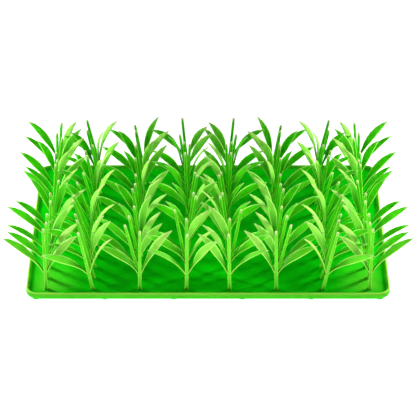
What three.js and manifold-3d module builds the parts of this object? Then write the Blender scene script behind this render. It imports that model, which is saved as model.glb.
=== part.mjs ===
// A lick mat of soft moulded silicone: a shallow tray on low feet, planted with sprigs of grass.
// Millimetres, +Z up, front towards -Y. The origin is under the middle of the tray, at the foot soles.
import * as THREE from "three";
import { mergeVertices } from "three/addons/utils/BufferGeometryUtils.js";
import Module from "manifold-3d";

const wasm = await Module();
wasm.setup();

// Finish: dark green floor, fresh green grass, both satin
const TRAY_COLOUR = "#1fa01c";
const GRASS_COLOUR = "#4fcf1e";
const SILICONE_ROUGHNESS = 0.42;

// Gap between neighbouring solids
const CLEARANCE = 0.3;

// Tray, measured over the outside of its rim
const TRAY_WIDTH = 220;
const TRAY_DEPTH = 150;
const CORNER_RADIUS = 8;
const CORNER_STEPS = 4;
const FLOOR_UNDERSIDE = 1.6;
const FLOOR_TOP = 3.9;
const RIM_TOP = 6.1;

// The rim in section: how far each corner lies in from the outer edge, and its height
const RIM_SECTION = [
  { inset: 1.4, height: FLOOR_UNDERSIDE },
  { inset: 0.4, height: FLOOR_UNDERSIDE + 0.6 },
  { inset: 0.0, height: FLOOR_UNDERSIDE + 2.2 },
  { inset: 0.2, height: RIM_TOP - 0.5 },
  { inset: 0.8, height: RIM_TOP },
  { inset: 1.4, height: RIM_TOP - 0.5 },
  { inset: 2.1, height: FLOOR_TOP + 0.5 },
  { inset: 3.4, height: FLOOR_TOP },
];

// Feet, in a grid under the tray
const FOOT_RADIUS = 3.0;
const FOOT_SOLE_RADIUS = 2.6;
const FOOT_SIDES = 8;
const FOOT_ROOT = 0.5;
const FOOT_COLUMNS = 6;
const FOOT_ROWS = 4;
const FOOT_PITCH_X = 41.4;
const FOOT_PITCH_Y = 46.6;

// Sprigs stand in columns that run from front to back, mirrored about the middle of the mat
const ROW_MARGIN = 8.2;
const EDGE_COLUMN_X = 97.6;
const COLUMN_PITCH = 28.2;

// The strip that holds the roots of a column lies in a groove, level with the floor
const STRIP_WIDTH = 5.0;
const STRIP_THICKNESS = 1.1;
const STRIP_OVERHANG = 2.6;

// Stem: how far up it each section lies, and its radius there, with a low collar at the foot
const STEM_SIDES = 4;
const STEM_SECTIONS = [
  { along: -0.7, radius: 2.1 },
  { along: 0.6, radius: 2.1 },
  { along: 1.1, radius: 1.35 },
  { along: 40.2, radius: 1.05 },
  { along: 41.4, radius: 0.55 },
];

// Leaf: where along it each section lies, from root to tip, with its width and thickness
const BRANCH_HEIGHT = 9;
const LEAF_SECTIONS = [
  { along: 0.0, width: 1.3, thickness: 1.2 },
  { along: 0.22, width: 1.4, thickness: 1.1 },
  { along: 0.42, width: 3.2, thickness: 1.0 },
  { along: 0.62, width: 4.8, thickness: 1.0 },
  { along: 0.82, width: 3.8, thickness: 0.9 },
  { along: 1.0, width: 0.8, thickness: 0.8 },
];
const LEAF_CHORD = 33.5;
// A leaf parts from its stem at this slope, and flattens by this angle towards its tip
const PARTING_SLOPE = 0.4;
const TIP_DROOP = 24;
// Shares of the chord that the two curve handles take
const ROOT_HANDLE = 0.3;
const TIP_HANDLE = 0.38;
// A leaf has its full roll from this share of its length on
const ROLLED_FROM = 0.55;

// Columns from the edge to the middle, in degrees. Turn swings a leaf towards the back, and roll is
// added to the row's.
const COLUMNS = [
  { outerTurn: 8, innerTurn: 20, innerRoll: 0 },
  { outerTurn: -12, innerTurn: -12, innerRoll: -8 },
  { outerTurn: 12, innerTurn: 14, innerRoll: 8 },
  { outerTurn: -14, innerTurn: 12, innerRoll: 0 },
];

// Rows from front to back, in degrees, with one angle for each column from the edge to the middle.
// Lean tips a stem outwards and back tips it towards the back. Outer and inner are the spread of
// the two leaves, their angle from upright. Roll turns the upper face of a leaf towards the front.
const ROWS = [
  { lean: [1, 11, -1, -1], back: [4, 0, 0, -4], outer: [46, 57, 54, 46], inner: [40, 26, 34, 34],
    outerRoll: 42, innerRoll: 38 },
  { lean: [-1, 13, 12, 0], back: [-3, 3, -5, 3], outer: [47, 53, 53, 45], inner: [39, 22, 29, 32],
    outerRoll: 48, innerRoll: 44 },
  { lean: [-1, 15, 9, 10], back: [-6, -4, -8, 1], outer: [52, 52, 46, 50], inner: [24, 17, 26, 24],
    outerRoll: 44, innerRoll: 48 },
  { lean: [-3, 18, 5, -8], back: [-3, 3, -10, 6], outer: [46, 53, 24, 24], inner: [34, 27, 12, 31],
    outerRoll: 42, innerRoll: 40 },
  { lean: [-2, 18, 7, -6], back: [-7, -6, 0, -6], outer: [44, 57, 50, 42], inner: [40, 10, 34, 29],
    outerRoll: 36, innerRoll: 14 },
  { lean: [-8, 16, 5, -9], back: [-3, -3, -8, 7], outer: [24, 28, 30, 20], inner: [20, 16, 24, 29],
    outerRoll: 54, innerRoll: 48 },
  { lean: [-4, 11, 5, -7], back: [6, -6, -9, -6], outer: [33, 46, 50, 44], inner: [31, 22, 32, 30],
    outerRoll: 48, innerRoll: 30 },
  { lean: [-5, 9, 6, 2], back: [-3, 6, 0, 10], outer: [37, 43, 46, 26], inner: [36, 8, 12, 28],
    outerRoll: 44, innerRoll: 38 },
  { lean: [-3, 11, 6, -2], back: [-7, -3, 4, 8], outer: [38, 24, 22, 43], inner: [20, 18, 28, 30],
    outerRoll: 52, innerRoll: 50 },
  { lean: [-7, 5, 6, 3], back: [0, -10, -9, -6], outer: [22, 45, 48, 40], inner: [33, 24, 15, 27],
    outerRoll: 48, innerRoll: 34 },
  { lean: [-2, 11, 7, 7], back: [-7, -1, -3, -9], outer: [39, 28, 28, 22], inner: [30, 8, 32, 29],
    outerRoll: 44, innerRoll: 48 },
  { lean: [-5, 12, 8, 5], back: [-6, 0, -9, 2], outer: [33, 44, 44, 40], inner: [24, 22, 18, 26],
    outerRoll: 50, innerRoll: 56 },
];

// No two neighbouring leaves are alike: angles in degrees, and a share of the leaf's length
const UNEVEN_ROLL = 30;
const UNEVEN_LENGTH = 0.08;
const UNEVEN_ROW_STEP = 2.4;
const UNEVEN_COLUMN_STEP = 1.7;
// Phases that set a sprig's two leaves apart from each other
const OUTER_PHASE = 0;
const INNER_PHASE = 3;

const UP = new THREE.Vector3(0, 0, 1);
const BACKWARD = new THREE.Vector3(0, 1, 0);
const ROW_PITCH = (TRAY_DEPTH - 2 * ROW_MARGIN) / (ROWS.length - 1);

const radians = THREE.MathUtils.degToRad;

function material(color) {
  return new THREE.MeshStandardMaterial({ color, roughness: SILICONE_ROUGHNESS, metalness: 0 });
}

// Joins loops of points that turn anticlockwise about the way they are stacked, and caps both ends.
function loft(loops) {
  const count = loops[0].length;
  const points = loops.flat();
  const last = points.length - count;
  const triangles = [];
  for (let ring = 0; ring < loops.length - 1; ring++) {
    for (let i = 0; i < count; i++) {
      const a = ring * count + i;
      const b = ring * count + ((i + 1) % count);
      triangles.push(a, b, b + count, a, b + count, a + count);
    }
  }
  for (let i = 1; i < count - 1; i++) {
    triangles.push(0, i + 1, i, last, last + i, last + i + 1);
  }
  return new THREE.BufferGeometry().setFromPoints(points).setIndex(triangles);
}

function toSolid(geometry) {
  const shape = geometry.clone();
  shape.deleteAttribute("normal");
  shape.deleteAttribute("uv");
  const merged = mergeVertices(shape);
  const vertProperties = new Float32Array(merged.attributes.position.array);
  const triVerts = new Uint32Array(merged.index.array);
  return new wasm.Manifold(new wasm.Mesh({ numProp: 3, vertProperties, triVerts }));
}

function toGeometry(solid) {
  const mesh = solid.getMesh();
  const geometry = new THREE.BufferGeometry();
  geometry.setAttribute("position", new THREE.BufferAttribute(mesh.vertProperties, 3));
  geometry.setIndex(new THREE.BufferAttribute(mesh.triVerts, 1));
  geometry.computeVertexNormals();
  return geometry;
}

function block(width, depth, low, high, x) {
  const geometry = new THREE.BoxGeometry(width, depth, high - low);
  return toSolid(geometry.translate(x, 0, (low + high) / 2));
}

// The tray's outline, drawn in by an inset, as a loop of points at one height
function trayLoop({ inset, height }) {
  const radius = CORNER_RADIUS - inset;
  const corners = [
    { x: 1, y: 1, start: 0 },
    { x: -1, y: 1, start: 90 },
    { x: -1, y: -1, start: 180 },
    { x: 1, y: -1, start: 270 },
  ];
  const loop = [];
  for (const { x, y, start } of corners) {
    const centreX = x * (TRAY_WIDTH / 2 - CORNER_RADIUS);
    const centreY = y * (TRAY_DEPTH / 2 - CORNER_RADIUS);
    for (let step = 0; step <= CORNER_STEPS; step++) {
      const angle = radians(start + (90 * step) / CORNER_STEPS);
      loop.push(
        new THREE.Vector3(centreX + radius * Math.cos(angle), centreY + radius * Math.sin(angle), height),
      );
    }
  }
  return loop;
}

function foot(column, row) {
  const top = FLOOR_UNDERSIDE + FOOT_ROOT;
  const geometry = new THREE.CylinderGeometry(FOOT_RADIUS, FOOT_SOLE_RADIUS, top, FOOT_SIDES);
  geometry.rotateX(Math.PI / 2);
  const x = (column - (FOOT_COLUMNS - 1) / 2) * FOOT_PITCH_X;
  const y = (row - (FOOT_ROWS - 1) / 2) * FOOT_PITCH_Y;
  return toSolid(geometry.translate(x, y, top / 2));
}

// How far a strip or its groove reaches from front to back
function stripDepth(gap) {
  return (ROWS.length - 1) * ROW_PITCH + 2 * (STRIP_OVERHANG + gap);
}

function columnX(side, column) {
  return side * (EDGE_COLUMN_X - column * COLUMN_PITCH);
}

function trayGeometry() {
  let tray = toSolid(loft(RIM_SECTION.map(trayLoop)));
  for (let column = 0; column < FOOT_COLUMNS; column++) {
    for (let row = 0; row < FOOT_ROWS; row++) {
      tray = tray.add(foot(column, row));
    }
  }
  const grooveFloor = FLOOR_TOP - STRIP_THICKNESS - CLEARANCE;
  const grooveWidth = STRIP_WIDTH + 2 * CLEARANCE;
  for (const side of [-1, 1]) {
    for (let column = 0; column < COLUMNS.length; column++) {
      const x = columnX(side, column);
      tray = tray.subtract(block(grooveWidth, stripDepth(CLEARANCE), grooveFloor, RIM_TOP, x));
    }
  }
  return toGeometry(tray);
}

// A straight stem along a direction, square to the floor in its sections
function stemSolid(root, direction) {
  const loops = STEM_SECTIONS.map(({ along, radius }) => {
    const centre = root.clone().addScaledVector(direction, along);
    const loop = [];
    for (let i = 0; i < STEM_SIDES; i++) {
      const angle = ((i + 0.5) / STEM_SIDES) * 2 * Math.PI;
      loop.push(
        new THREE.Vector3(radius * Math.cos(angle), radius * Math.sin(angle), 0).add(centre),
      );
    }
    return loop;
  });
  return toSolid(loft(loops));
}

// A flat pointed blade that leaves the stem upwards, bends over towards a heading and rolls its face
// forwards. The heading is level, spread is the tip's angle from upright and roll is signed.
function leafSolid(start, stem, heading, spread, roll, chord) {
  const slope = (angle) =>
    new THREE.Vector3().addScaledVector(heading, Math.sin(angle)).addScaledVector(UP, Math.cos(angle));
  const tip = start.clone().addScaledVector(slope(spread), chord);
  const parting = stem.clone().addScaledVector(heading, PARTING_SLOPE).normalize();
  const curve = new THREE.CubicBezierCurve3(
    start,
    start.clone().addScaledVector(parting, ROOT_HANDLE * chord),
    tip.clone().addScaledVector(slope(spread + radians(TIP_DROOP)), -TIP_HANDLE * chord),
    tip,
  );
  const level = new THREE.Vector3().crossVectors(UP, heading);
  const loops = LEAF_SECTIONS.map(({ along, width, thickness }) => {
    const centre = curve.getPoint(along);
    const tangent = curve.getTangent(along);
    const across = level.clone().applyAxisAngle(tangent, roll * Math.min(along / ROLLED_FROM, 1));
    across.addScaledVector(tangent, -across.dot(tangent)).normalize();
    const face = new THREE.Vector3().crossVectors(tangent, across);
    const corner = (a, b) =>
      centre
        .clone()
        .addScaledVector(across, (a * width) / 2)
        .addScaledVector(face, (b * thickness) / 2);
    return [corner(1, 1), corner(-1, 1), corner(-1, -1), corner(1, -1)];
  });
  return toSolid(loft(loops));
}

// A number from -1 to 1 that wanders from sprig to sprig, different for each phase
function uneven(column, row, phase) {
  return Math.sin(UNEVEN_ROW_STEP * row + UNEVEN_COLUMN_STEP * column + phase);
}

// A stem with its outer and inner leaf
function sprigSolid(side, column, row) {
  const outward = new THREE.Vector3(side, 0, 0);
  const turns = COLUMNS[column];
  const pose = ROWS[row];
  const y = row * ROW_PITCH + ROW_MARGIN - TRAY_DEPTH / 2;
  const root = new THREE.Vector3(columnX(side, column), y, FLOOR_TOP);
  const stem = UP.clone()
    .addScaledVector(outward, Math.tan(radians(pose.lean[column])))
    .addScaledVector(BACKWARD, Math.tan(radians(pose.back[column])))
    .normalize();
  const start = root.clone().addScaledVector(stem, BRANCH_HEIGHT);
  const heading = (sign, turn) =>
    outward
      .clone()
      .multiplyScalar(sign * Math.cos(radians(turn)))
      .addScaledVector(BACKWARD, Math.sin(radians(turn)));
  const leaf = (sign, turn, spread, roll, phase) =>
    leafSolid(
      start,
      stem,
      heading(sign, turn),
      radians(spread),
      sign * side * radians(roll + UNEVEN_ROLL * uneven(column, row, phase)),
      LEAF_CHORD * (1 + UNEVEN_LENGTH * uneven(column, row, phase + 1)),
    );
  // The two middle columns turn their inner leaves opposite ways, so that these pass each other
  const innerTurn = column === COLUMNS.length - 1 ? side * turns.innerTurn : turns.innerTurn;
  const innerRoll = pose.innerRoll + turns.innerRoll;
  return stemSolid(root, stem)
    .add(leaf(1, turns.outerTurn, pose.outer[column], pose.outerRoll, OUTER_PHASE))
    .add(leaf(-1, innerTurn, pose.inner[column], innerRoll, INNER_PHASE));
}

function columnGeometry(side, column) {
  const x = columnX(side, column);
  let solid = block(STRIP_WIDTH, stripDepth(0), FLOOR_TOP - STRIP_THICKNESS, FLOOR_TOP, x);
  for (let row = 0; row < ROWS.length; row++) {
    solid = solid.add(sprigSolid(side, column, row));
  }
  return toGeometry(solid);
}

function namedMesh(name, geometry, color) {
  const mesh = new THREE.Mesh(geometry, material(color));
  mesh.name = name;
  return mesh;
}

const mat = new THREE.Group();
mat.add(namedMesh("tray", trayGeometry(), TRAY_COLOUR));
for (const [side, label] of [
  [-1, "left"],
  [1, "right"],
]) {
  for (let column = 0; column < COLUMNS.length; column++) {
    mat.add(namedMesh(`grass_${label}_${column + 1}`, columnGeometry(side, column), GRASS_COLOUR));
  }
}

export default mat;
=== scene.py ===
"""A lick mat of moulded silicone: a shallow tray on small feet, planted with columns of grass sprigs."""

import math

import bmesh
import bpy
import numpy as np
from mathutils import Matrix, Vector


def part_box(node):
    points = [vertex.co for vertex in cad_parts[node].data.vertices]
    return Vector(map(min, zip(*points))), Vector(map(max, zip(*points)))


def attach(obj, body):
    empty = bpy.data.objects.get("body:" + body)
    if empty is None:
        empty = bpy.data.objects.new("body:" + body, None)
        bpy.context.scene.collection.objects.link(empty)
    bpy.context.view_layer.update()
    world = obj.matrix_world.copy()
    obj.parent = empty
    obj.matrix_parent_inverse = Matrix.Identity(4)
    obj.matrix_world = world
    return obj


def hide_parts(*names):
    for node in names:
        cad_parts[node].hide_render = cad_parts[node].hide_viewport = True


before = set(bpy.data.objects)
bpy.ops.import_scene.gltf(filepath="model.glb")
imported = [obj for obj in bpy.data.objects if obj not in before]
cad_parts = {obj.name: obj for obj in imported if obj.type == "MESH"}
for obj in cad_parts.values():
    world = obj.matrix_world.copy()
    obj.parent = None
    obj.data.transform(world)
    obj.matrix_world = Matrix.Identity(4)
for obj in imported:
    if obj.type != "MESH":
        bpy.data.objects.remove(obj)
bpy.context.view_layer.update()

bl_info = {
    "name": "Grass Lick Mat",
    "version": (1, 0, 0),
    "blender": (4, 5, 0),
    "location": "View3D > Sidebar > Lick Mat",
    "description": "Models a silicone lick mat with moulded grass over its solids",
    "category": "Mesh",
}

# Shapes are worked out in millimetres, and meshes and materials are in metres
MM = 0.001
WELD_DISTANCE = 0.001 * MM
UP = np.array((0.0, 0.0, 1.0))
BACKWARD = np.array((0.0, 1.0, 0.0))
SIDES = {"left": -1, "right": 1}

TRAY_LOW, TRAY_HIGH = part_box("tray")
TRAY_WIDTH = TRAY_HIGH.x - TRAY_LOW.x
TRAY_DEPTH = TRAY_HIGH.y - TRAY_LOW.y
RIM_TOP = TRAY_HIGH.z

# Columns of sprigs from the edge to the middle, in degrees. Turn swings a leaf towards the back, and
# roll is added to the row's.
COLUMNS = (
    dict(outer_turn=8, inner_turn=20, inner_roll=0),
    dict(outer_turn=-12, inner_turn=-12, inner_roll=-8),
    dict(outer_turn=12, inner_turn=14, inner_roll=8),
    dict(outer_turn=-14, inner_turn=12, inner_roll=0),
)

# Rows from front to back, in degrees, with one angle for each column from the edge to the middle.
# Lean tips a stem outwards and back tips it towards the back. Outer and inner are the spread of
# the two leaves, their angle from upright. Roll turns the upper face of a leaf towards the front.
ROWS = (
    dict(lean=(1, 11, -1, -1), back=(4, 0, 0, -4), outer=(46, 57, 54, 46), inner=(40, 26, 34, 34),
         outer_roll=42, inner_roll=38),
    dict(lean=(-1, 13, 12, 0), back=(-3, 3, -5, 3), outer=(47, 53, 53, 45), inner=(39, 22, 29, 32),
         outer_roll=48, inner_roll=44),
    dict(lean=(-1, 15, 9, 10), back=(-6, -4, -8, 1), outer=(52, 52, 46, 50), inner=(24, 17, 26, 24),
         outer_roll=44, inner_roll=48),
    dict(lean=(-3, 18, 5, -8), back=(-3, 3, -10, 6), outer=(46, 53, 24, 24), inner=(34, 27, 12, 31),
         outer_roll=42, inner_roll=40),
    dict(lean=(-2, 18, 7, -6), back=(-7, -6, 0, -6), outer=(44, 57, 50, 42), inner=(40, 10, 34, 29),
         outer_roll=36, inner_roll=14),
    dict(lean=(-8, 16, 5, -9), back=(-3, -3, -8, 7), outer=(24, 28, 30, 20), inner=(20, 16, 24, 29),
         outer_roll=54, inner_roll=48),
    dict(lean=(-4, 11, 5, -7), back=(6, -6, -9, -6), outer=(33, 46, 50, 44), inner=(31, 22, 32, 30),
         outer_roll=48, inner_roll=30),
    dict(lean=(-5, 9, 6, 2), back=(-3, 6, 0, 10), outer=(37, 43, 46, 26), inner=(36, 8, 12, 28),
         outer_roll=44, inner_roll=38),
    dict(lean=(-3, 11, 6, -2), back=(-7, -3, 4, 8), outer=(38, 24, 22, 43), inner=(20, 18, 28, 30),
         outer_roll=52, inner_roll=50),
    dict(lean=(-7, 5, 6, 3), back=(0, -10, -9, -6), outer=(22, 45, 48, 40), inner=(33, 24, 15, 27),
         outer_roll=48, inner_roll=34),
    dict(lean=(-2, 11, 7, 7), back=(-7, -1, -3, -9), outer=(39, 28, 28, 22), inner=(30, 8, 32, 29),
         outer_roll=44, inner_roll=48),
    dict(lean=(-5, 12, 8, 5), back=(-6, 0, -9, 2), outer=(33, 44, 44, 40), inner=(24, 22, 18, 26),
         outer_roll=50, inner_roll=56),
)

# No two neighbouring leaves are alike: their roll differs by these degrees, and their length and pale
# painted highlight by these shares
UNEVEN_ROLL = 30
UNEVEN_LENGTH = 0.08
UNEVEN_PALE_HIGHLIGHT = 0.3
# How far a sine moves on from row to row and from column to column, and where it starts, in radians
UNEVEN_ROW_STEP = 2.4
UNEVEN_COLUMN_STEP = 1.7
OUTER_PHASE = 0
INNER_PHASE = 3
PALE_PHASE = 6

# A leaf parts from its stem at this slope and flattens by these degrees towards its tip
PARTING_SLOPE = 0.4
TIP_DROOP = 24
# Shares of the chord that the two curve handles take, and from where on the leaf has its full roll
ROOT_HANDLE = 0.3
TIP_HANDLE = 0.38
ROLLED_FROM = 0.55

# Leaf from root to tip: share of its length, share of its full width, thickness in millimetres
LEAF_TABLE = np.array((
    (0.00, 0.28, 1.25),
    (0.22, 0.30, 1.15),
    (0.42, 0.66, 1.00),
    (0.62, 1.00, 0.90),
    (0.82, 0.78, 0.80),
    (0.94, 0.38, 0.70),
    (1.00, 0.07, 0.50),
))
# Rings of points from root to tip
LEAF_STATIONS = 10
# Leaf in section: share of the half width and of the half thickness, upper face first
LEAF_SECTION = np.array((
    (1.00, 0.0), (0.72, 1.0), (0.00, 1.0), (-0.72, 1.0), (-1.00, 0.0), (0.00, -1.0),
))
# The edges of a blade stand this share of its width above its middle
LEAF_CHANNEL = 0.1
# How strong the pale painted highlight is on stems, outer leaves and inner leaves
SPRIG_PAINTED_HIGHLIGHT = (0.0, 0.0, 0.6)
# The front row gets painted light, paler by this share, which fades over this many rows
FRONT_PAINTED_LIGHT = 0.12
FRONT_FADE = 1.2

# Stem from foot to tip, with a low collar: share of its height, share of its radius
STEM_TABLE = np.array((
    (-0.012, 1.25), (0.010, 1.25), (0.024, 1.04), (0.40, 0.96),
    (0.93, 0.80), (0.985, 0.72), (1.000, 0.40),
))
# Stem in section: shares of its radius to the right and to the back, and how near it is to a corner, where
# a pale line is painted as a highlight
STEM_SECTION = np.array((
    (1.0, 0.0, 0.0), (0.9, 0.9, 1.0), (0.0, 1.0, 0.0), (-0.9, 0.9, 1.0),
    (-1.0, 0.0, 0.0), (-0.9, -0.9, 1.0), (0.0, -1.0, 0.0), (0.9, -0.9, 1.0),
))
# Stems are as light at their feet as leaves are this far along, which softens the painted shade at their
# feet
STEM_LIGHT = 0.6
# Stems get a cream painted highlight at their tips, between these shares of their height
TIP_HIGHLIGHT_FROM = 0.97
TIP_HIGHLIGHT_FULL = 1.0
# How much cream painted highlight the very end of a leaf gets
LEAF_TIP_HIGHLIGHT = 0.4

# Tray rim in section: share of the rim's width in from the outer edge, height above the underside
# as a share of the rim's height, and how much pale painted highlight it gets there
RIM_TABLE = np.array((
    (0.41, 0.00, 0.1), (0.24, 0.03, 0.1), (0.10, 0.12, 0.1), (0.02, 0.30, 0.12),
    (0.00, 0.50, 0.15), (0.01, 0.70, 0.2), (0.06, 0.87, 0.5), (0.14, 0.97, 1.0),
    (0.23, 1.00, 1.0), (0.32, 0.97, 0.9), (0.40, 0.88, 0.5), (0.47, 0.74, 0.25),
    (0.56, 0.62, 0.15), (0.69, 0.55, 0.1), (0.85, 0.52, 0.05), (1.00, 0.51, 0.0),
))
# The floor gets painted light, paler towards its front corners, between these distances from the middle, in
# millimetres, and by this share
CORNER_LIGHT_FROM_X = 76
CORNER_LIGHT_FULL_X = 106
CORNER_LIGHT_FROM_Y = 30
CORNER_LIGHT_FULL_Y = 66
CORNER_PAINTED_LIGHT = 0.3
# Steps round a corner, along a long side and along a short side, and rings from the rim to the middle
CORNER_STEPS = 9
LONG_STEPS = 40
SHORT_STEPS = 28
FLOOR_RINGS = 12

# Corners of a foot's rings
FOOT_AROUND = 12
# Foot from sole to root: share of its height and of its radius
FOOT_TABLE = np.array(((0.0, 0.80), (0.06, 0.87), (0.7, 0.96), (1.0, 1.0)))
# How far a foot reaches into the tray, in millimetres
FOOT_SUNK = 0.3

# The floor sways in soft waves, across the tray and along it. Lengths are millimetres for each radian.
SWAY_ACROSS = 17.0
SWAY_ALONG = 19.0
# How far the waves across bend to and fro, in radians, and the lengths of that bend and of their slant
SWAY_BEND = 0.7
BEND_ALONG = 23.0
SLANT_ACROSS = 61.0
# The floor sways in full from this share of the way from the rim to the middle
SWAY_FULL = 1 / 6


def linear(code):
    """An sRGB hex colour as linear red, green, blue and alpha.

    Dark values are divided by a constant, and all others follow the power curve of sRGB."""
    srgb = np.array([int(code[i:i + 2], 16) for i in (1, 3, 5)]) / 255
    rgb = np.where(srgb <= 0.04045, srgb / 12.92, ((srgb + 0.055) / 1.055) ** 2.4)
    return (*(float(c) for c in rgb), 1.0)


def length_property(name, description, millimetres):
    """A size that a user may change, kept in metres."""
    return bpy.props.FloatProperty(
        name=name, description=description, default=millimetres * MM, unit="LENGTH", precision=4
    )


def angle_property(name, description, degrees):
    """An angle that a user may change, kept in radians."""
    return bpy.props.FloatProperty(
        name=name, description=description, default=math.radians(degrees), subtype="ANGLE"
    )


def power_property(name, description, watts):
    """The power of a light that a user may change."""
    return bpy.props.FloatProperty(name=name, description=description, default=watts, unit="POWER")


def count_property(name, description, count):
    """A number of like things that a user may change."""
    return bpy.props.IntProperty(name=name, description=description, default=count, min=1)


def colour_property(name, description, code):
    """A colour that a user may change, given as sRGB hex."""
    return bpy.props.FloatVectorProperty(
        name=name, description=description, default=linear(code), subtype="COLOR", size=4, min=0, max=1
    )


class TraySizes(bpy.types.PropertyGroup):
    """Sizes of the tray and its feet"""

    width: length_property("Width", "From left to right over the rim", TRAY_WIDTH / MM)
    depth: length_property("Depth", "From front to back over the rim", TRAY_DEPTH / MM)
    corner_radius: length_property("Corner radius", "Round of the outer corners", 8.0)
    rim_top: length_property("Rim top", "Height of the rim over the table", RIM_TOP / MM)
    underside: length_property("Underside", "Height of the tray's underside over the table", 1.6)
    rim_width: length_property("Rim width", "From the outer edge to the flat floor", 3.4)
    floor_top: length_property("Floor top", "Height of the floor that the grass stands on", 3.9)
    floor_sway: length_property("Floor sway", "How far the soft floor rises and falls", 0.12)
    foot_radius: length_property("Foot radius", "Radius of a foot where it meets the tray", 3.0)
    foot_pitch_x: length_property("Foot pitch across", "Distance between feet, left to right", 41.4)
    foot_pitch_y: length_property("Foot pitch along", "Distance between feet, front to back", 46.6)
    foot_columns: count_property("Foot columns", "Feet from left to right", 6)
    foot_rows: count_property("Foot rows", "Feet from front to back", 4)


class GrassSizes(bpy.types.PropertyGroup):
    """Sizes of the sprigs and where they stand"""

    edge_column: length_property("Edge column", "Distance of the outermost column from the middle", 97.6)
    column_pitch: length_property("Column pitch", "Distance between columns", 28.2)
    row_margin: length_property("Row margin", "From the rim's outside to the first and last row", 8.2)
    stem_height: length_property("Stem height", "Length of a stem above the floor", 41.4)
    stem_radius: length_property("Stem radius", "Radius of a stem above its collar", 1.05)
    branch_height: length_property("Branch height", "How far up the stem its leaves part from it", 9)
    leaf_chord: length_property("Leaf length", "From a leaf's root straight to its tip", 33.5)
    leaf_width: length_property("Leaf width", "Width of a blade where it is broadest", 4.8)


class FinishColours(bpy.types.PropertyGroup):
    """Colours of the moulded silicone"""

    floor: colour_property("Floor", "Deep green of the tray's floor", "#00b000")
    floor_light: colour_property("Floor, light", "Thinner places of the floor", "#00bc00")
    # The rim colour is a painted highlight on the rim's top and painted light in the floor's front corners
    rim: colour_property("Rim", "Thin top of the rim", "#a8e850")
    # The root colour is painted shade at the feet of stems and leaves
    root: colour_property("Root", "Thick foot of stems and leaves", "#005800")
    blade: colour_property("Blade", "Outer half of a leaf", "#50e000")
    # The pale colour is a painted highlight on inner leaves and on the front rows
    pale: colour_property("Pale blade", "Thin inner leaves", "#c8f478")
    # The edge colour is a painted highlight on blade edges and stem corners, and it also colours the veins
    edge: colour_property("Edge", "Thin edges of the blades", "#b4ff60")
    # The tip colour is a cream painted highlight on the ends of stems and leaves
    tip: colour_property("Tip", "Bleached ends of stems and leaves", "#fffcc0")


class StageSettings(bpy.types.PropertyGroup):
    """Camera and lights"""

    elevation: angle_property("Elevation", "How far the camera looks down", 32.2)
    distance: length_property("Distance", "From the camera to the point it looks at", 1429.4)
    lens: bpy.props.FloatProperty(name="Lens", description="Focal length", default=197.0, unit="CAMERA")
    aim_y: length_property("Aim, along", "Where the camera looks, from front to back", 5.83)
    aim_z: length_property("Aim, height", "Where the camera looks, over the table", 15.9)
    softbox_aim: length_property("Softbox aim", "How far out from the middle each softbox points", 86.0)
    softbox_forward: length_property("Softbox forward", "How far in front of the middle it points", 12.0)
    softbox_distance: length_property("Softbox distance", "From a softbox to where it points", 420.0)
    softbox_rise: angle_property("Softbox rise", "How high a softbox stands", 30)
    softbox_turn: angle_property("Softbox turn", "How far back a softbox stands", 31)
    softbox_size: length_property("Softbox size", "Width of a softbox", 140.0)
    softbox_spread: angle_property("Softbox spread", "Beam of a softbox and its grid", 34)
    softbox_power: power_property("Softbox power", "Power of each softbox", 0.175)
    card_distance: length_property("Card distance", "From the white card in front to the mat", 600.0)
    card_rise: angle_property("Card rise", "How high the card stands", 4)
    card_size: length_property("Card size", "Width of the card", 160.0)
    card_power: power_property("Card power", "Light that the card throws", 1.15)
    fill: bpy.props.FloatProperty(name="Fill", description="Light from all around", default=0.17)


class LickMat(bpy.types.PropertyGroup):
    """All settings of the mat"""

    tray: bpy.props.PointerProperty(type=TraySizes)
    grass: bpy.props.PointerProperty(type=GrassSizes)
    colours: bpy.props.PointerProperty(type=FinishColours)
    stage: bpy.props.PointerProperty(type=StageSettings)


def in_mm(group):
    """The sizes of a property group in millimetres, and its counts, by name."""
    sizes = {}
    for name in group.__annotations__:
        value = getattr(group, name)
        sizes[name] = value if isinstance(value, int) else value / MM
    return sizes


def smooth_table(table, at):
    """Values of a table at given places: a smooth cubic through its rows.

    Each row's slope comes from its neighbours. Between two rows, s is the share of the way, and the four
    cubic Hermite weights of s blend the rows' values and slopes."""
    knots = table[:, 0]
    values = table[:, 1:]
    slopes = np.gradient(values, knots, axis=0)
    left = np.clip(np.searchsorted(knots, at, side="right") - 1, 0, len(knots) - 2)
    span = (knots[left + 1] - knots[left])[:, None]
    s = ((at - knots[left])[:, None]) / span
    return (
        (2 * s**3 - 3 * s**2 + 1) * values[left]
        + (s**3 - 2 * s**2 + s) * span * slopes[left]
        + (3 * s**2 - 2 * s**3) * values[left + 1]
        + (s**3 - s**2) * span * slopes[left + 1]
    )


def unit(vectors):
    """Vectors brought to length one."""
    return vectors / np.linalg.norm(vectors, axis=-1, keepdims=True)


def turned(vectors, axes, angles):
    """Vectors turned about unit axes: the part along the axis stays, and the rest turns in its plane."""
    cosine = np.cos(angles)[..., None]
    sine = np.sin(angles)[..., None]
    along = np.sum(axes * vectors, axis=-1, keepdims=True) * axes
    return along + (vectors - along) * cosine + np.cross(axes, vectors) * sine


def tube_faces(tubes, rings, around, first):
    """Faces of like tubes whose rings turn anticlockwise about the way they are stacked.

    Quads join each ring to the next, and one face caps each end."""
    starts = first + np.arange(tubes)[:, None, None] * rings * around
    corner = np.arange(around)
    ring = np.arange(rings - 1)[:, None] * around
    low = starts + ring + corner
    high = starts + ring + (corner + 1) % around
    quads = np.stack((low, high, high + around, low + around), axis=-1).reshape(-1, 4)
    foot = (starts[:, 0] + corner[::-1]).tolist()
    head = (starts[:, 0] + (rings - 1) * around + corner).tolist()
    return quads.tolist() + foot + head


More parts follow.
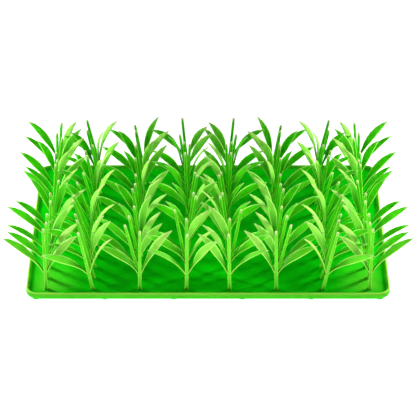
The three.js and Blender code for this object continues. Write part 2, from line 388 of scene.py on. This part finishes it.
def add_piece(node, points, faces, finish, material):
    """Makes a smooth mesh that rides on the mat's only body in place of its solid.

    Points are in millimetres. Each has four numbers for its painted light and shade, which the material
    reads."""
    name = f"silicone_{node}"
    mesh = bpy.data.meshes.new(name)
    mesh.from_pydata((points * MM).tolist(), [], faces)
    attribute = mesh.attributes.new("finish", "FLOAT_COLOR", "POINT")
    attribute.data.foreach_set("color", finish.astype(np.float32).ravel())
    mesh.update()
    mesh.shade_smooth()
    mesh.materials.append(material)
    piece = bpy.data.objects.new(name, mesh)
    bpy.context.scene.collection.objects.link(piece)
    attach(piece, "root")
    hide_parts(node)
    return piece


def weld(mesh):
    """Joins points that lie on each other and drops the faces that this leaves empty."""
    work = bmesh.new()
    work.from_mesh(mesh)
    bmesh.ops.remove_doubles(work, verts=work.verts, dist=WELD_DISTANCE)
    bmesh.ops.dissolve_degenerate(work, edges=work.edges, dist=WELD_DISTANCE)
    work.to_mesh(mesh)
    work.free()


def tray_path(sizes):
    """The tray's outline as centres and directions.

    A point of any inset lies at centre + (radius - inset) * direction. Each corner is a quarter circle, and
    each side runs straight between two corners."""
    radius = sizes["corner_radius"]
    half = np.array((sizes["width"] / 2 - radius, sizes["depth"] / 2 - radius))
    corners = np.array(((1, -1), (1, 1), (-1, 1), (-1, -1))) * half
    starts = np.radians((-90, 0, 90, 180))
    side_steps = (SHORT_STEPS, LONG_STEPS, SHORT_STEPS, LONG_STEPS)
    centres = []
    angles = []
    for i, steps in enumerate(side_steps):
        arc = starts[i] + np.linspace(0, np.pi / 2, CORNER_STEPS + 1)
        share = np.linspace(0, 1, steps + 1)[1:-1, None]
        side = corners[i] * (1 - share) + corners[(i + 1) % len(corners)] * share
        centres += [np.repeat(corners[i][None], len(arc), axis=0), side]
        angles += [arc, np.full(len(side), arc[-1])]
    angle = np.concatenate(angles)
    return np.concatenate(centres), np.stack((np.cos(angle), np.sin(angle)), axis=-1)


def tray_shell(sizes):
    """Points of the tray and how much pale painted light each gets, ring by ring.

    The rings run from the middle of the underside round the rim to the middle of the floor. The rim's
    section is carried round the outline. The floor and the underside shrink from the rim to a line along
    the middle. The floor sways by a sine across the tray times a cosine along it."""
    centres, directions = tray_path(sizes)
    rim_height = sizes["rim_top"] - sizes["underside"]
    insets = RIM_TABLE[:, 0, None, None] * sizes["rim_width"]
    heights = sizes["underside"] + RIM_TABLE[:, 1] * rim_height
    # The rim's section ends level with the floor
    heights[-1] = sizes["floor_top"]
    flat = centres + (sizes["corner_radius"] - insets) * directions
    rise = np.broadcast_to(heights[:, None, None], (*flat.shape[:2], 1))
    rim = np.concatenate((flat, rise), axis=-1)

    reach = (sizes["width"] - sizes["depth"]) / 2
    share = np.linspace(0, 1, FLOOR_RINGS + 1)[1:, None, None]

    def towards_middle(loop):
        """Rings from a loop to the line below or above the middle, which has the loop's height."""
        core = loop * (1.0, 0.0, 1.0)
        core[:, 0] = np.clip(core[:, 0], -reach, reach)
        return loop * (1 - share) + core * share

    paleness = np.zeros((2 * FLOOR_RINGS + len(rim), len(centres)))
    # Painted highlight: the rim is paler towards its top
    paleness[FLOOR_RINGS:-FLOOR_RINGS] = RIM_TABLE[:, 2, None]
    floor = towards_middle(rim[-1])
    x, y = floor[..., 0], floor[..., 1]
    across = np.sin(x / SWAY_ACROSS + SWAY_BEND * np.sin(y / BEND_ALONG))
    along = np.cos(y / SWAY_ALONG + x / SLANT_ACROSS)
    floor[..., 2] += sizes["floor_sway"] * across * along * np.minimum(share[..., 0] / SWAY_FULL, 1)
    # Painted light: the floor pales towards its front corners
    to_side = np.clip((np.abs(x) - CORNER_LIGHT_FROM_X) / (CORNER_LIGHT_FULL_X - CORNER_LIGHT_FROM_X), 0, 1)
    to_front = np.clip((-y - CORNER_LIGHT_FROM_Y) / (CORNER_LIGHT_FULL_Y - CORNER_LIGHT_FROM_Y), 0, 1)
    paleness[-FLOOR_RINGS:] = CORNER_PAINTED_LIGHT * to_side * to_front
    underside = towards_middle(rim[0])[::-1]
    return np.concatenate((underside, rim, floor)), paleness


def spaced(count, pitch):
    """Places of a number of things a pitch apart, centred on zero."""
    return (np.arange(count) - (count - 1) / 2) * pitch


def foot_points(sizes):
    """Points of all feet, (foot, ring, corner): round studs that narrow to a flat sole, in a grid."""
    columns = spaced(sizes["foot_columns"], sizes["foot_pitch_x"])
    rows = spaced(sizes["foot_rows"], sizes["foot_pitch_y"])
    x, y = (grid.reshape(-1, 1, 1) for grid in np.meshgrid(columns, rows))
    angle = np.arange(FOOT_AROUND) / FOOT_AROUND * 2 * np.pi
    radius = FOOT_TABLE[:, 1, None] * sizes["foot_radius"]
    height = FOOT_TABLE[:, 0, None] * (sizes["underside"] + FOOT_SUNK)
    ring_x = x + radius * np.cos(angle)
    ring_y = y + radius * np.sin(angle)
    return np.stack((ring_x, ring_y, np.broadcast_to(height, ring_x.shape)), axis=-1)


def uneven(column, row, phase):
    """A number from -1 to 1 that wanders from sprig to sprig, different for each phase."""
    return np.sin(UNEVEN_ROW_STEP * row + UNEVEN_COLUMN_STEP * column + phase)


def row_values(key):
    """One column of the table of rows."""
    return np.array([row[key] for row in ROWS], float)


def stem_points(roots, directions, sizes):
    """Points of the stems, (stem, ring, corner).

    Level rings, square with bulging sides, climb each stem, and the table gives their size."""
    along = STEM_TABLE[:, 0, None] * sizes["stem_height"]
    centres = roots[:, None] + directions[:, None] * along
    section = STEM_SECTION * (1, 1, 0)
    return centres[:, :, None] + STEM_TABLE[:, 1, None, None] * sizes["stem_radius"] * section


def leaf_points(starts, stems, heading, spread, roll, chord, sizes):
    """Points of like leaves, (leaf, ring, corner).

    The midline is a cubic Bezier curve that leaves the stem upwards and bends over towards a level heading.
    Spread is the tip's angle from upright. The section is a flat lens, raised towards its edges by the
    square of the share of the half width. It turns about the midline by the roll."""

    def slope(angle):
        """Directions at an angle from upright, towards the heading."""
        return heading * np.sin(angle)[:, None] + UP * np.cos(angle)[:, None]

    tips = starts + slope(spread) * chord[:, None]
    parting = unit(stems + heading * PARTING_SLOPE)
    handles = (
        starts,
        starts + parting * (ROOT_HANDLE * chord)[:, None],
        tips - slope(spread + math.radians(TIP_DROOP)) * (TIP_HANDLE * chord)[:, None],
        tips,
    )
    t = np.linspace(0, 1, LEAF_STATIONS)
    weights = np.stack(((1 - t) ** 3, 3 * t * (1 - t) ** 2, 3 * t**2 * (1 - t), t**3))
    speeds = np.stack((-3 * (1 - t) ** 2, 3 * (1 - t) * (1 - 3 * t), 3 * t * (2 - 3 * t), 3 * t**2))
    midline = np.einsum("hk,hlc->lkc", weights, np.stack(handles))
    tangent = unit(np.einsum("hk,hlc->lkc", speeds, np.stack(handles)))
    level = np.broadcast_to(np.cross(UP, heading), midline.shape)
    across = turned(level, tangent, roll[:, None] * np.minimum(t / ROLLED_FROM, 1))
    across = unit(across - np.sum(across * tangent, axis=-1, keepdims=True) * tangent)
    face = np.cross(tangent, across)

    width, thickness = smooth_table(LEAF_TABLE, t).T
    width = width[:, None] * sizes["leaf_width"]
    sideways = LEAF_SECTION[:, 0] * width / 2
    raised = LEAF_SECTION[:, 1] * thickness[:, None] / 2 + LEAF_CHANNEL * width * LEAF_SECTION[:, 0] ** 2
    return (
        midline[:, :, None]
        + across[:, :, None] * sideways[..., None]
        + face[:, :, None] * raised[..., None]
    )


def sprig_painted_light(tube, along, out, cream, pale):
    """The painted light and shade of each point of like stems or leaves, four numbers that the grass
    material reads.

    They are how far along its stem or leaf a point lies, which sets the painted shade at its foot, how far
    out from a blade's middle or how near to a stem's corner, where a pale edge is painted as a highlight,
    how much cream painted highlight it gets, and how much pale painted highlight its sprig gets."""
    finish = np.empty((*tube.shape[:3], 4))
    finish[..., 0] = along[:, None]
    finish[..., 1] = out
    finish[..., 2] = cream[:, None]
    finish[..., 3] = pale[:, None, None]
    return finish


def column_sprigs(side, column, sizes):
    """Stems, outer leaves and inner leaves of one column, with the painted light and shade of each point.

    Roots stand evenly from front to back. The tables tip each stem and set the angles of its leaves."""
    turns = COLUMNS[column]
    row = np.arange(len(ROWS))
    depth = TRAY_DEPTH / MM
    pitch = (depth - 2 * sizes["row_margin"]) / (len(ROWS) - 1)
    outward = np.array((side, 0.0, 0.0))
    x = np.full(len(ROWS), side * (sizes["edge_column"] - column * sizes["column_pitch"]))
    y = row * pitch + sizes["row_margin"] - depth / 2
    roots = np.stack((x, y, np.full(len(ROWS), sizes["floor_top"])), axis=-1)
    lean = np.tan(np.radians(row_values("lean")[:, column]))[:, None]
    back = np.tan(np.radians(row_values("back")[:, column]))[:, None]
    stems = unit(UP + outward * lean + BACKWARD * back)
    starts = roots + stems * sizes["branch_height"]

    def leaves(sign, turn, spread, roll, phase):
        """The leaves on one side of the stems, outwards for a sign of 1 and inwards for -1."""
        heading = outward * sign * math.cos(math.radians(turn)) + BACKWARD * math.sin(math.radians(turn))
        rolls = sign * side * np.radians(roll + UNEVEN_ROLL * uneven(column, row, phase))
        chords = sizes["leaf_chord"] * (1 + UNEVEN_LENGTH * uneven(column, row, phase + 1))
        return leaf_points(starts, stems, heading, np.radians(spread[:, column]), rolls, chords, sizes)

    # The two middle columns turn their inner leaves opposite ways, so that these pass each other
    inner_turn = turns["inner_turn"] * (side if column == len(COLUMNS) - 1 else 1)
    inner_roll = row_values("inner_roll") + turns["inner_roll"]
    tubes = (
        stem_points(roots, stems, sizes),
        leaves(1, turns["outer_turn"], row_values("outer"), row_values("outer_roll"), OUTER_PHASE),
        leaves(-1, inner_turn, row_values("inner"), inner_roll, INNER_PHASE),
    )
    # Painted shade: stems and leaves darken towards their feet by how far along a point lies
    stem_share = np.clip(STEM_TABLE[:, 0], 0, 1)
    stem_along = STEM_LIGHT + (1 - STEM_LIGHT) * stem_share
    # Painted highlight: the ends of stems and leaves turn cream
    stem_tip_highlight = np.clip((stem_share - TIP_HIGHLIGHT_FROM) / (TIP_HIGHLIGHT_FULL - TIP_HIGHLIGHT_FROM), 0, 1)
    leaf_along = np.linspace(0, 1, LEAF_STATIONS)
    leaf_tip_highlight = np.where(leaf_along == 1, LEAF_TIP_HIGHLIGHT, 0)
    leaf_out = np.abs(LEAF_SECTION[:, 0])
    kinds = (
        (tubes[0], stem_along, STEM_SECTION[:, 2], stem_tip_highlight),
        (tubes[1], leaf_along, leaf_out, leaf_tip_highlight),
        (tubes[2], leaf_along, leaf_out, leaf_tip_highlight),
    )
    # Painted light: the front rows are paler
    front_painted_light = FRONT_PAINTED_LIGHT * np.exp(-row / FRONT_FADE)
    painted_light_sets = []
    # Painted highlight: inner leaves are pale towards their tips
    for kind, paleness in zip(kinds, SPRIG_PAINTED_HIGHLIGHT):
        pale = paleness * (1 + UNEVEN_PALE_HIGHLIGHT * uneven(column, row, PALE_PHASE)) + front_painted_light
        painted_light_sets.append(sprig_painted_light(*kind, pale))
    return tubes, painted_light_sets


def add_node(tree, kind, inputs=None, output=0, **settings):
    """Adds a shader node and returns one of its outputs.

    An input that is a socket is linked, and any other is set."""
    node = tree.nodes.new(kind)
    for name, value in settings.items():
        setattr(node, name, value)
    for key, value in (inputs or {}).items():
        if isinstance(value, bpy.types.NodeSocket):
            tree.links.new(value, node.inputs[key])
        else:
            node.inputs[key].default_value = value
    return node.outputs[output] if node.outputs else None


# Sockets of the Mix node that hold colours
MIX_A = 6
MIX_B = 7
MIX_RESULT = 2

# Silicone rubber: its refraction, the share of light that wanders inside it, and how far it wanders,
# with the shares of that distance for red, green and blue
SILICONE_IOR = 1.41
WANDER_SHARE = 0.4
WANDER_DISTANCE = 1.0 * MM
WANDER_COLOURS = (0.9, 1.0, 0.8)
# Octaves of the soft clouds and of the grit, and the range in which most of the clouds lie. Real grit from
# a polished mould is too fine to show, so it is drawn coarser below.
CLOUD_DETAIL = 2.0
GRIT_DETAIL = 3.0
CLOUD_LOW = 0.3
CLOUD_HIGH = 0.7

# Tray: sizes of the clouds and of the grit, depth of the grit, gloss, and roughness over the clouds' range
TRAY_CLOUD = 24 * MM
TRAY_GRIT = 0.8 * MM
TRAY_RELIEF = 0.05 * MM
TRAY_GLOSS = 0.05
TRAY_SMOOTH = 0.4
TRAY_ROUGH = 0.55
# The floor turns to its light colour between these values of the clouds
LIGHT_FROM = 0.4
LIGHT_FULL = 0.75

# Grass: the same values as for the tray
GRASS_CLOUD = 9 * MM
GRASS_GRIT = 0.7 * MM
GRASS_RELIEF = 0.06 * MM
GRASS_GLOSS = 0.08
GRASS_SMOOTH = 0.38
GRASS_ROUGH = 0.52
# Shares of a leaf's length between which the painted shade of its foot gives way to the blade's colour,
# between which the pale painted highlight comes in, and how far clouds shift them
BLADE_FROM = 0.2
BLADE_FULL = 0.95
PALE_HIGHLIGHT_FROM = 0.45
PALE_HIGHLIGHT_FULL = 1.0
CLOUD_SHIFT = 0.4
# Shares of a blade's half width between which it takes its edge's colour, a painted highlight
EDGE_HIGHLIGHT_FROM = 0.7
EDGE_HIGHLIGHT_FULL = 0.94
# Veins in half a blade, where a vein's wave starts to show, how much it shows, and its height beside
# the grit's
VEINS = 3
VEIN_FROM = 0.2
VEIN_SHARE = 0.12
VEIN_HEIGHT = 0.5


def new_material(name):
    """An empty node material and its tree."""
    material = bpy.data.materials.new(name)
    material.use_nodes = True
    material.node_tree.nodes.clear()
    return material, material.node_tree


def finish_silicone(tree, colour, roughness, gloss, height, relief):
    """Ends a material as silicone rubber.

    It is satin, with soft highlights, and light wanders a little inside it."""
    normal = add_node(tree, "ShaderNodeBump", {"Distance": relief, "Height": height})
    shader = add_node(tree, "ShaderNodeBsdfPrincipled", {
        "Base Color": colour,
        "Roughness": roughness,
        "IOR": SILICONE_IOR,
        "Specular IOR Level": gloss,
        "Normal": normal,
        "Subsurface Weight": WANDER_SHARE,
        "Subsurface Radius": WANDER_COLOURS,
        "Subsurface Scale": WANDER_DISTANCE,
    })
    add_node(tree, "ShaderNodeOutputMaterial", {"Surface": shader})


def tray_material(colours):
    """Silicone sheet from a polished mould, deep green.

    Thinner places of the floor show as soft lighter clouds. The rim's top is painted pale as a highlight,
    and the floor's front corners are painted pale as light."""
    material, tree = new_material("moulded silicone, tray")
    place = add_node(tree, "ShaderNodeTexCoord", output="Object")
    finish = add_node(tree, "ShaderNodeAttribute", attribute_name="finish")
    painted_light_share = add_node(tree, "ShaderNodeSeparateColor", {"Color": finish})
    clouds = add_node(tree, "ShaderNodeTexNoise", {
        "Vector": place, "Scale": 1 / TRAY_CLOUD, "Detail": CLOUD_DETAIL,
    })
    light_share = add_node(tree, "ShaderNodeMapRange", {
        "Value": clouds, "From Min": LIGHT_FROM, "From Max": LIGHT_FULL,
    })
    floor = add_node(tree, "ShaderNodeMix", {
        0: light_share, MIX_A: colours.floor, MIX_B: colours.floor_light,
    }, output=MIX_RESULT, data_type="RGBA")
    # Painted light: the rim's top and the floor's front corners take the pale rim colour
    colour = add_node(tree, "ShaderNodeMix", {
        0: painted_light_share, MIX_A: floor, MIX_B: colours.rim,
    }, output=MIX_RESULT, data_type="RGBA")
    grit = add_node(tree, "ShaderNodeTexNoise", {
        "Vector": place, "Scale": 1 / TRAY_GRIT, "Detail": GRIT_DETAIL,
    })
    roughness = add_node(tree, "ShaderNodeMapRange", {
        "Value": clouds, "From Min": CLOUD_LOW, "From Max": CLOUD_HIGH,
        "To Min": TRAY_SMOOTH, "To Max": TRAY_ROUGH,
    })
    finish_silicone(tree, colour, roughness, TRAY_GLOSS, grit, TRAY_RELIEF)
    return material


def grass_material(colours):
    """Silicone grass from a polished mould, fresh green.

    Stems and leaves get painted shade at their dark feet and are lighter further out, and pale leaves get a
    painted highlight towards their tips. Blades have fine lengthwise veins, blade edges and stem corners
    get a pale painted highlight, and every end gets a cream painted highlight."""
    material, tree = new_material("moulded silicone, grass")
    place = add_node(tree, "ShaderNodeTexCoord", output="Object")
    finish = add_node(tree, "ShaderNodeAttribute", attribute_name="finish")
    split = add_node(tree, "ShaderNodeSeparateColor", {"Color": finish}).node.outputs
    along, out, cream = split["Red"], split["Green"], split["Blue"]
    pale = finish.node.outputs["Alpha"]

    clouds = add_node(tree, "ShaderNodeTexNoise", {
        "Vector": place, "Scale": 1 / GRASS_CLOUD, "Detail": CLOUD_DETAIL,
    })
    reach = add_node(tree, "ShaderNodeMath", {
        0: clouds, 1: CLOUD_SHIFT, 2: along,
    }, operation="MULTIPLY_ADD")
    # Painted shade: feet take the dark root colour, which gives way to the blade's further out
    blade_share = add_node(tree, "ShaderNodeMapRange", {
        "Value": reach, "From Min": BLADE_FROM, "From Max": BLADE_FULL,
    })
    blade = add_node(tree, "ShaderNodeMix", {
        0: blade_share, MIX_A: colours.root, MIX_B: colours.blade,
    }, output=MIX_RESULT, data_type="RGBA")
    # Painted highlight: pale leaves take the pale colour towards their tips
    pale_highlight_reach = add_node(tree, "ShaderNodeMapRange", {
        "Value": reach, "From Min": PALE_HIGHLIGHT_FROM, "From Max": PALE_HIGHLIGHT_FULL,
    })
    pale_highlight_share = add_node(tree, "ShaderNodeMath", {0: pale_highlight_reach, 1: pale}, operation="MULTIPLY")
    pale_highlighted = add_node(tree, "ShaderNodeMix", {
        0: pale_highlight_share, MIX_A: blade, MIX_B: colours.pale,
    }, output=MIX_RESULT, data_type="RGBA")

    # Veins are the crests of a cosine across the blade
    angle = add_node(tree, "ShaderNodeMath", {0: out, 1: VEINS * 2 * math.pi}, operation="MULTIPLY")
    veins = add_node(tree, "ShaderNodeMath", {0: angle}, operation="COSINE")
    vein_share = add_node(tree, "ShaderNodeMapRange", {
        "Value": veins, "From Min": VEIN_FROM, "To Max": VEIN_SHARE,
    })
    # Painted highlight: blade edges and stem corners take the edge colour
    edge_highlight_share = add_node(tree, "ShaderNodeMapRange", {
        "Value": out, "From Min": EDGE_HIGHLIGHT_FROM, "From Max": EDGE_HIGHLIGHT_FULL,
    })
    vein_and_highlight_share = add_node(tree, "ShaderNodeMath", {0: vein_share, 1: edge_highlight_share}, operation="MAXIMUM")
    edged = add_node(tree, "ShaderNodeMix", {
        0: vein_and_highlight_share, MIX_A: pale_highlighted, MIX_B: colours.edge,
    }, output=MIX_RESULT, data_type="RGBA")
    # Painted highlight: ends turn cream
    colour = add_node(tree, "ShaderNodeMix", {
        0: cream, MIX_A: edged, MIX_B: colours.tip,
    }, output=MIX_RESULT, data_type="RGBA")

    grit = add_node(tree, "ShaderNodeTexNoise", {
        "Vector": place, "Scale": 1 / GRASS_GRIT, "Detail": GRIT_DETAIL,
    })
    height = add_node(tree, "ShaderNodeMath", {
        0: veins, 1: VEIN_HEIGHT, 2: grit,
    }, operation="MULTIPLY_ADD")
    roughness = add_node(tree, "ShaderNodeMapRange", {
        "Value": clouds, "From Min": CLOUD_LOW, "From Max": CLOUD_HIGH,
        "To Min": GRASS_SMOOTH, "To Max": GRASS_ROUGH,
    })
    finish_silicone(tree, colour, roughness, GRASS_GLOSS, height, GRASS_RELIEF)
    return material


# Stage floor: half its side in metres, its colour, roughness and glow
STAGE_HALF = 3.0
STAGE_COLOUR = "#f7f7f5"
STAGE_ROUGHNESS = 0.9
STAGE_GLOW = 1.0
# White of the floor's glow and of the fill
LIGHT_COLOUR = "#ffffff"


def add_lamp(name, aim, offset, size):
    """A round soft light that stands off from where it points, unseen by the camera."""
    light = bpy.data.lights.new(name, "AREA")
    light.shape = "DISK"
    light.size = size
    lamp = bpy.data.objects.new(name, light)
    lamp.location = aim + offset
    lamp.rotation_euler = (-offset).to_track_quat("-Z", "Y").to_euler()
    lamp.visible_camera = False
    bpy.context.scene.collection.objects.link(lamp)
    return light


def set_camera(scene, stage):
    """Stands the camera in front of the mat, looking down at it."""
    camera = bpy.data.cameras.new("camera")
    camera.lens = stage.lens
    camera_object = bpy.data.objects.new("camera", camera)
    aim = Vector((0, stage.aim_y, stage.aim_z))
    away = Vector((0, -math.cos(stage.elevation), math.sin(stage.elevation)))
    camera_object.location = aim + away * stage.distance
    camera_object.rotation_euler = (-away).to_track_quat("-Z", "Y").to_euler()
    scene.collection.objects.link(camera_object)
    scene.camera = camera_object


def lay_floor(scene):
    """Lays a pale floor that glows white."""
    mesh = bpy.data.meshes.new("pale_floor")
    corners = [(x * STAGE_HALF, y * STAGE_HALF, 0) for x, y in ((-1, -1), (1, -1), (1, 1), (-1, 1))]
    mesh.from_pydata(corners, [], [(0, 1, 2, 3)])
    material, tree = new_material("pale studio floor")
    shader = add_node(tree, "ShaderNodeBsdfPrincipled", {
        "Base Color": linear(STAGE_COLOUR),
        "Roughness": STAGE_ROUGHNESS,
        "Emission Color": linear(LIGHT_COLOUR),
        "Emission Strength": STAGE_GLOW,
    })
    add_node(tree, "ShaderNodeOutputMaterial", {"Surface": shader})
    mesh.materials.append(material)
    floor = bpy.data.objects.new("pale_floor", mesh)
    scene.collection.objects.link(floor)


def set_lights(scene, stage):
    """Sets a softbox to each side and a little behind, a white card in front, and an even fill."""
    for side, sign in SIDES.items():
        aim = Vector((sign * stage.softbox_aim, -stage.softbox_forward, stage.aim_z))
        level = math.cos(stage.softbox_rise)
        towards = Vector((
            sign * level * math.cos(stage.softbox_turn),
            level * math.sin(stage.softbox_turn),
            math.sin(stage.softbox_rise),
        ))
        light = add_lamp(f"{side}_softbox", aim, towards * stage.softbox_distance, stage.softbox_size)
        light.energy = stage.softbox_power
        light.spread = stage.softbox_spread
    towards = Vector((0, -math.cos(stage.card_rise), math.sin(stage.card_rise)))
    aim = Vector((0, 0, stage.aim_z))
    card = add_lamp("front_card", aim, towards * stage.card_distance, stage.card_size)
    card.energy = stage.card_power

    world = bpy.data.worlds.new("studio")
    world.use_nodes = True
    background = world.node_tree.nodes["Background"]
    background.inputs["Color"].default_value = linear(LIGHT_COLOUR)
    background.inputs["Strength"].default_value = stage.fill
    scene.world = world


class LICKMAT_OT_set_stage(bpy.types.Operator):
    """Sets the camera, lays a pale floor and sets soft lights"""

    bl_idname = "lickmat.set_stage"
    bl_label = "Set Stage"

    def execute(self, context):
        scene = context.scene
        scene.view_settings.view_transform = "Standard"
        stage = scene.lick_mat.stage
        set_camera(scene, stage)
        lay_floor(scene)
        set_lights(scene, stage)
        return {"FINISHED"}


class LICKMAT_OT_mould_tray(bpy.types.Operator):
    """Makes the tray with its rim, floor and feet"""

    bl_idname = "lickmat.mould_tray"
    bl_label = "Mould Tray"

    def execute(self, context):
        mat = context.scene.lick_mat
        sizes = in_mm(mat.tray)
        shell, shell_painted_light = tray_shell(sizes)
        feet = foot_points(sizes)
        points = np.concatenate((shell.reshape(-1, 3), feet.reshape(-1, 3)))
        finish = np.zeros((len(points), 4))
        finish[:shell_painted_light.size, 0] = shell_painted_light.ravel()
        rings, around = shell.shape[:2]
        # The shell closes on its middle lines when it is welded, so its two end caps are left out
        faces = tube_faces(1, rings, around, 0)[:-2]
        faces += tube_faces(*feet.shape[:3], rings * around)
        tray = add_piece("tray", points, faces, finish, tray_material(mat.colours))
        weld(tray.data)
        return {"FINISHED"}


class LICKMAT_OT_plant_grass(bpy.types.Operator):
    """Makes the columns of sprigs, each a stem with an outer and an inner leaf"""

    bl_idname = "lickmat.plant_grass"
    bl_label = "Plant Grass"

    def execute(self, context):
        mat = context.scene.lick_mat
        sizes = in_mm(mat.grass)
        sizes["floor_top"] = mat.tray.floor_top / MM
        material = grass_material(mat.colours)
        for label, side in SIDES.items():
            for column in range(len(COLUMNS)):
                tubes, painted_light_sets = column_sprigs(side, column, sizes)
                faces = []
                first = 0
                for tube in tubes:
                    faces += tube_faces(*tube.shape[:3], first)
                    first += tube[..., 0].size
                points = np.concatenate([tube.reshape(-1, 3) for tube in tubes])
                finish = np.concatenate([values.reshape(-1, 4) for values in painted_light_sets])
                node = f"grass_{label}_{column + 1}"
                add_piece(node, points, faces, finish, material)
        return {"FINISHED"}


class LICKMAT_PT_sidebar(bpy.types.Panel):
    """Lists the mat's settings and the steps that make it"""

    bl_idname = "LICKMAT_PT_sidebar"
    bl_label = "Lick Mat"
    bl_space_type = "VIEW_3D"
    bl_region_type = "UI"
    bl_category = "Lick Mat"

    def draw(self, context):
        mat = context.scene.lick_mat
        for title, group, step in (
            ("Stage", mat.stage, LICKMAT_OT_set_stage),
            ("Tray", mat.tray, LICKMAT_OT_mould_tray),
            ("Grass", mat.grass, LICKMAT_OT_plant_grass),
            ("Colours", mat.colours, None),
        ):
            box = self.layout.box()
            box.label(text=title)
            for name in group.__annotations__:
                box.prop(group, name)
            if step:
                box.operator(step.bl_idname)


CLASSES = (
    TraySizes,
    GrassSizes,
    FinishColours,
    StageSettings,
    LickMat,
    LICKMAT_OT_set_stage,
    LICKMAT_OT_mould_tray,
    LICKMAT_OT_plant_grass,
    LICKMAT_PT_sidebar,
)


def register():
    """Makes the classes and the mat's settings known to Blender."""
    for cls in CLASSES:
        bpy.utils.register_class(cls)
    bpy.types.Scene.lick_mat = bpy.props.PointerProperty(type=LickMat)


def unregister():
    """Takes away what register added."""
    del bpy.types.Scene.lick_mat
    for cls in reversed(CLASSES):
        bpy.utils.unregister_class(cls)


def main():
    """Makes the mat step by step."""
    register()
    bpy.ops.lickmat.set_stage()
    bpy.ops.lickmat.mould_tray()
    bpy.ops.lickmat.plant_grass()


if __name__ == "__main__":
    main()
